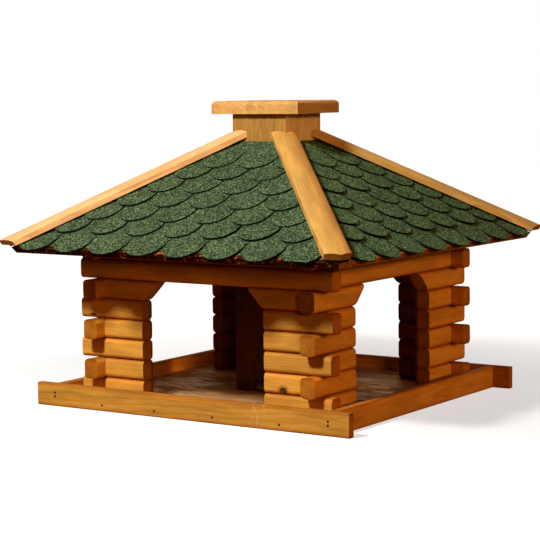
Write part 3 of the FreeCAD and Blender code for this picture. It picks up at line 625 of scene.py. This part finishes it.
# %% Shingle sizes
BOARD_APEX = 383.77 * MM
BOARD_EDGE = 307.37 * MM
TAB_PITCH = 60.5 * MM
TAB_RADIUS = 28.5 * MM
SLIT_TOP = 40 * MM
STRIP_LENGTH = 73 * MM
TIP_STEPS = 14
FELT = 3.4 * MM
EAVE_TIP = 1.3 * MM
EAVE_THICKENING = 0.2
OVERHANG = 11 * MM
TAB_LIFT = 5.4 * MM
TAB_SAG = 0.7 * MM
ROW_DROP = 2.4 / 31
LEAST_TOP = 0.3 * MM
LEAST_UNDERSIDE = 0.1 * MM
SHORT_BY = 5 * MM
SHORT_ONE = (0, 0, 3)
STARTER_LENGTH = 600 * MM
STARTER_WIDTH = 40 * MM
STARTER_SETBACK = 5 * MM
STARTER_THICKNESS = 0.8 * MM
STARTER_LIFT = 0.05 * MM
HIP_GAP = 0.3 * MM
SILO_REACH = 43.8 * MM
ROW_TIPS = [value * MM for value in (318.37, 275.87, 244.87, 212.01, 178.84, 147.84, 120.87)]
FRONT_SHIFTS = (0.35, -0.13, 0.4, -0.03, 0.46, -0.08, 0.4)
SIDE_SHIFTS = (-0.34, 0.15, -0.34, 0.17, -0.35, 0.1, -0.39)
print(len(ROW_TIPS), "rows of tabs on each roof face")


# %% One tab
def tab_outline(trim):
    """A flat tab, its tip at the origin and its strip towards +Y, with the tip cut off at trim."""
    tab = bmesh.new()
    corner = tab.verts.new((-TAB_RADIUS, TAB_RADIUS, 0))
    bmesh.ops.spin(tab, geom=[corner], cent=(0, TAB_RADIUS, 0), axis=(0, 0, 1), angle=math.pi,
                   steps=TIP_STEPS)
    risen = bmesh.ops.extrude_edge_only(tab, edges=tab.edges[:])["geom"]
    verts = [item for item in risen if isinstance(item, bmesh.types.BMVert)]
    slit_line = Matrix.Translation((0, -SLIT_TOP, 0))
    bmesh.ops.scale(tab, vec=(1, 0, 1), space=slit_line, verts=verts)
    upper = [item for item in risen if isinstance(item, bmesh.types.BMEdge)]
    risen = bmesh.ops.extrude_edge_only(tab, edges=upper)["geom"]
    verts = [item for item in risen if isinstance(item, bmesh.types.BMVert)]
    bmesh.ops.translate(tab, vec=(0, STRIP_LENGTH - SLIT_TOP, 0), verts=verts)
    for way in (-1, 1):
        rim = [edge for edge in tab.edges
               if all(vert.co.x * way > TAB_RADIUS - 1e-6 and vert.co.y > SLIT_TOP - 1e-6
                      for vert in edge.verts)]
        wider = bmesh.ops.extrude_edge_only(tab, edges=rim)["geom"]
        verts = [item for item in wider if isinstance(item, bmesh.types.BMVert)]
        bmesh.ops.translate(tab, vec=(way * (TAB_PITCH / 2 - TAB_RADIUS), 0, 0), verts=verts)
    bmesh.ops.bisect_plane(tab, geom=tab.verts[:] + tab.edges[:] + tab.faces[:],
                           plane_co=(0, trim, 0), plane_no=(0, -1, 0), clear_outer=True)
    mesh = bpy.data.meshes.new("tab_outline")
    tab.to_mesh(mesh)
    tab.free()
    return mesh


ROUND_TAB = tab_outline(0)
SHORT_TAB = tab_outline(SHORT_BY)
TRIMMED_TAB = tab_outline(OVERHANG)
print("one tab has", len(ROUND_TAB.polygons), "faces")


# %% One row
def felt_row(row, shift, face):
    """A strip of tabs as a flat solid that is thin where the next rows press on it."""
    strip = bmesh.new()
    reach = ROW_TIPS[row] * math.cos(ROOF_PITCH)
    first = math.ceil((-reach - shift) / TAB_PITCH) - 1
    last = math.floor((reach - shift) / TAB_PITCH) + 1
    for index in range(first, last + 1):
        middle = shift + index * TAB_PITCH
        outline = ROUND_TAB
        if (face, row, index) == SHORT_ONE:
            outline = SHORT_TAB
        if row == 0 and abs(middle) > reach - OVERHANG:
            outline = TRIMMED_TAB
        count = len(strip.verts)
        strip.from_mesh(outline)
        strip.verts.ensure_lookup_table()
        bmesh.ops.translate(strip, vec=(middle, 0, 0), verts=strip.verts[count:])
    bmesh.ops.remove_doubles(strip, verts=strip.verts[:], dist=0.01 * MM)
    raised = bmesh.ops.extrude_face_region(strip, geom=strip.faces[:])["geom"]
    tops = {item for item in raised if isinstance(item, bmesh.types.BMVert)}
    for vert in strip.verts:
        up = vert.co.y
        tab = round((vert.co.x - shift) / TAB_PITCH)
        sag = noise.cell((tab + 0.5, row + 0.5, face + 0.5)) * TAB_SAG
        top = TAB_LIFT - ROW_DROP * up - sag * max(0, 1 - up / SLIT_TOP)
        thick = min(FELT, EAVE_TIP + EAVE_THICKENING * up) if row == 0 else FELT
        if vert in tops:
            vert.co.z = max(top, LEAST_TOP)
        else:
            vert.co.z = max(top - thick, LEAST_UNDERSIDE)
    down = Matrix.Translation((0, -ROW_TIPS[row], 0))
    bmesh.ops.transform(strip, matrix=down, verts=strip.verts[:])
    mesh = bpy.data.meshes.new("felt_row")
    strip.to_mesh(mesh)
    strip.free()
    return mesh


# %% Four roof faces
def trim(felt, place, out):
    """Cuts away what lies beyond a plane and closes the cut."""
    bmesh.ops.bisect_plane(felt, geom=felt.verts[:] + felt.edges[:] + felt.faces[:],
                           plane_co=place, plane_no=out, clear_outer=True)
    bmesh.ops.holes_fill(felt, edges=[edge for edge in felt.edges if edge.is_boundary], sides=0)


def felt_face(name, face, shifts):
    """All strips of one roof face, laid on the slope and turned to its side."""
    felt = bmesh.new()
    starter = bmesh.ops.create_grid(felt, x_segments=1, y_segments=1, size=0.5)["verts"]
    bmesh.ops.scale(felt, vec=(STARTER_LENGTH, STARTER_WIDTH, 1), verts=starter)
    up_slope = -BOARD_EDGE + STARTER_SETBACK + STARTER_WIDTH / 2
    bmesh.ops.translate(felt, vec=(0, up_slope, STARTER_LIFT), verts=starter)
    raised = bmesh.ops.extrude_face_region(felt, geom=felt.faces[:])["geom"]
    bmesh.ops.translate(felt, vec=(0, 0, STARTER_THICKNESS),
                        verts=[item for item in raised if isinstance(item, bmesh.types.BMVert)])
    for row, shift in enumerate(shifts):
        felt.from_mesh(felt_row(row, shift * TAB_PITCH, face))
    slope = Matrix.Translation((0, 0, BOARD_APEX)) @ Matrix.Rotation(ROOF_PITCH, 4, "X")
    bmesh.ops.transform(felt, matrix=slope, verts=felt.verts[:])
    trim(felt, (0, -HIP_GAP, 0), (1, 1, 0))
    trim(felt, (0, -HIP_GAP, 0), (-1, 1, 0))
    trim(felt, (0, -SILO_REACH, 0), (0, 1, 0))
    to_side = Matrix.Rotation(face * math.pi / 2, 3, "Z")
    bmesh.ops.rotate(felt, cent=(0, 0, 0), matrix=to_side, verts=felt.verts[:])
    bmesh.ops.dissolve_degenerate(felt, edges=felt.edges[:], dist=0.001 * MM)
    bmesh.ops.recalc_face_normals(felt, faces=felt.faces[:])
    mesh = bpy.data.meshes.new("felt_" + name)
    felt.to_mesh(mesh)
    open_edges = sum(edge.is_boundary for edge in felt.edges)
    felt.free()
    piece = bpy.data.objects.new("felt_" + name, mesh)
    bpy.context.collection.objects.link(piece)
    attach(piece, "table")
    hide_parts("shingles_" + name)
    print(piece.name, len(mesh.polygons), "faces,", open_edges, "open edges")
    return piece


FELT_PIECES = {side: felt_face(side, face, SIDE_SHIFTS if face % 2 else FRONT_SHIFTS)
               for face, side in enumerate(SIDES)}

# %% [markdown]
# ## Crushed green stone
# The felt is covered with crushed stone, which keeps the sun off the bitumen. Each stone
# is a cell about one and a half millimetres wide with its own green, from nearly black to
# three times the middle tone. Larger clouds of tone lie over them. Where a face doesn't
# look up from the roof it is the cut edge of the felt, which is black bitumen.

# %% Group: crushed stone
GREY_STONE = (0.075, 0.082, 0.055, 1)
STONE_STOPS = ((0.0, 0.06), (0.4, 0.47), (0.7, 1.18), (0.95, 3.2))
tree, given, wanted = group("crushed stone", {
    "Vector": ("Vector", None), "Stone": ("Color", (0.06, 0.1, 0.045, 1)),
    "Cell": ("Float", 0.002)}, {
    "Color": ("Color", None), "Height": ("Float", None)})
rate = calc(tree, "DIVIDE", 1.0, given["Cell"])
stones = put(tree, "TexVoronoi", {"Vector": given["Vector"], "Scale": rate}).outputs
chance = parts(tree, stones["Color"])
ramp = put(tree, "ValToRGB", {0: chance[0]})
stops = ramp.color_ramp.elements
while len(stops) < len(STONE_STOPS):
    stops.new(0.5)
for stop, (position, value) in zip(stops, STONE_STOPS):
    stop.position = position
    stop.color = (value, value, value, 1)
clouds = noise_of(tree, given["Vector"], 28.0, 4.0)
bare = noise_of(tree, given["Vector"], 190.0, 2.0)
tone = calc(tree, "MULTIPLY", ease(tree, clouds, 0.3, 0.7, 0.88, 1.1),
            ease(tree, bare, 0.3, 0.7, 0.9, 1.1))
grey = calc(tree, "MULTIPLY", chance[1], 0.35)
hue = blend(tree, grey, given["Stone"], GREY_STONE)
stone_colour = scaled(tree, hue, calc(tree, "MULTIPLY", tone, ramp.outputs[0]))
tree.links.new(stone_colour, wanted["Color"])
tree.links.new(calc(tree, "SUBTRACT", chance[2], stones["Distance"]), wanted["Height"])
CRUSHED_STONE = tree
print(CRUSHED_STONE.name, "has", len(CRUSHED_STONE.nodes), "nodes")

# %% Cover the felt
STONE_CELL = 1.4 * MM
STONE_DEPTH = 0.5 * MM
BITUMEN = (0.006, 0.006, 0.005, 1)
LIT_STONE = (0.052, 0.090, 0.033, 1)
SIDE_STONE_PAINTED_LIGHT = (0.062, 0.126, 0.044, 1)


def shingle_felt(name, out, stone):
    """Stone-covered felt: out points straight up from its roof face."""
    made, tree, sockets = material(name, 0.85, 0.2)
    spot = put(tree, "TexCoord").outputs
    figure = use_group(tree, CRUSHED_STONE, {
        "Vector": spot["Object"], "Stone": stone, "Cell": STONE_CELL})
    compared = {0: spot["Normal"], 1: out}
    upward = put(tree, "VectorMath", compared, operation="DOT_PRODUCT").outputs["Value"]
    covered = ease(tree, upward, 0.85, 0.95)
    tree.links.new(blend(tree, covered, BITUMEN, figure["Color"]), sockets["Base Color"])
    raise_surface(tree, sockets, figure["Height"], STONE_DEPTH)
    return made


for (side, piece), out in zip(FELT_PIECES.items(), ((0, -1), (1, 0), (0, 1), (-1, 0))):
    up = (out[0] * math.sin(ROOF_PITCH), out[1] * math.sin(ROOF_PITCH), math.cos(ROOF_PITCH))
    # The right and back faces take a lighter, greener stone: painted light where the key lamp
    # barely reaches.
    stone = SIDE_STONE_PAINTED_LIGHT if side in ("right", "back") else LIT_STONE
    piece.data.materials.append(shingle_felt("shingle_felt_" + side, up, stone))
print("four roof faces covered")

# %% [markdown]
# ## Nails
# Wire nails that have rusted a little and sit just under the stained surface, so each
# shows as a small dark brown spot.

# %% Nails
DARK_STEEL = (0.05, 0.018, 0.008, 1)
RUST = (0.12, 0.04, 0.012, 1)
nail_steel, tree, sockets = material("nail_steel", 0.6)
spots = noise_of(tree, put(tree, "TexCoord").outputs["Object"], 900.0)
rusted = ease(tree, spots, 0.4, 0.7)
tree.links.new(blend(tree, rusted, DARK_STEEL, RUST), sockets["Base Color"])
sockets["Metallic"].default_value = 0.3
dress(nail_steel, "tray_nails")

# %% [markdown]
# ## The studio
# The floor and the sky look white to the camera and give the table next to no light, so
# only the lamps shape it. Behind the table the sky also shows in reflections, in a warm
# white that puts a sheen on the tray. Near the table the floor is a real surface that
# takes its shadow, and further out it glows more and more, until it meets the white sky.

# %% Floor
FLOOR_SEEN = (0.5, 0.5, 0.5, 1)
FLOOR_UNSEEN = (0.10, 0.035, 0.01, 1)
FLOOR_FADE = (0.3, 1.0)
FLOOR_GLOW = (0.62, 1.0)
floor_mesh = bmesh.new()
bmesh.ops.create_grid(floor_mesh, x_segments=1, y_segments=1, size=6)
floor_data = bpy.data.meshes.new("studio_floor")
floor_mesh.to_mesh(floor_data)
floor_mesh.free()
floor = bpy.data.objects.new("studio_floor", floor_data)
bpy.context.collection.objects.link(floor)

floor_paint, tree, sockets = material("studio_white", 0.9, 0.0)
seen = put(tree, "LightPath").outputs["Is Camera Ray"]
away = span(tree, put(tree, "TexCoord").outputs["Object"])
tree.links.new(blend(tree, seen, FLOOR_UNSEEN, FLOOR_SEEN), sockets["Base Color"])
sockets["Emission Color"].default_value = (1, 1, 1, 1)
glow = ease(tree, away, *FLOOR_FADE, *FLOOR_GLOW)
tree.links.new(calc(tree, "MULTIPLY", seen, glow), sockets["Emission Strength"])
floor.data.materials.append(floor_paint)
print(floor.name, "painted")

# %% Sky
AMBIENT = (0.012, 0.005, 0.002, 1)
WARM_WHITE = (0.8, 0.5, 0.27, 1)
world = bpy.data.worlds.new("studio_sky")
bpy.context.scene.world = world
world.use_nodes = True
tree = world.node_tree
rays = put(tree, "LightPath").outputs
toward = parts(tree, put(tree, "TexCoord").outputs["Generated"])[1]
mirrored = calc(tree, "MULTIPLY", rays["Is Glossy Ray"], ease(tree, toward, 0.3, 0.8))
sky = blend(tree, mirrored, AMBIENT, WARM_WHITE)
sky = blend(tree, rays["Is Camera Ray"], sky, (1, 1, 1, 1))
tree.links.new(sky, tree.nodes["Background"].inputs["Color"])
print(world.name, "set")

# %% [markdown]
# ## Lamps
# One small lamp stands a metre in front of the table, above its left half, so the log
# ends of the left post throw their shadows straight down and those of the right post
# throw them down and to the right. Three low suns fill in with warm light, each by its
# strength, colour, bearing and height: one for the right side, a weak one that looks in
# from the right front, and one for the back and the left. They stay out of reflections,
# because a low sun would glare on the tray.


# %% Lamps
def lamp(name, kind, strength, colour):
    """A lamp of one kind, strength and colour."""
    data = bpy.data.lights.new(name, kind)
    data.energy = strength
    data.color = colour
    made = bpy.data.objects.new(name, data)
    bpy.context.collection.objects.link(made)
    return made


KEY_PLACE = Vector((-0.1, -1.0, 1.1))
KEY_AIM = Vector((0, -0.15, 0.15))
KEY_STRENGTH = 20.5
KEY_COLOUR = (1, 0.98, 0.95)
KEY_SIZE = 0.2
FILLS = (("side_fill", 0.92, (1, 0.48, 0.175), 93, 14),
         ("front_fill", 0.38, (1, 0.45, 0.18), 48, 12),
         ("back_fill", 0.85, (1, 0.75, 0.5), 235, 8))
FILL_ANGLE = math.radians(8)

key = lamp("key", "AREA", KEY_STRENGTH, KEY_COLOUR)
key.data.shape = "DISK"
key.data.size = KEY_SIZE
key.location = KEY_PLACE
key.rotation_euler = (KEY_AIM - KEY_PLACE).to_track_quat("-Z", "Y").to_euler()
for name, strength, colour, bearing, height in FILLS:
    fill = lamp(name, "SUN", strength, colour)
    fill.data.angle = FILL_ANGLE
    fill.visible_glossy = False
    fill.rotation_euler = (math.radians(90 - height), 0, math.radians(bearing))
bpy.context.scene.view_settings.view_transform = "Standard"
print(1 + len(FILLS), "lamps")
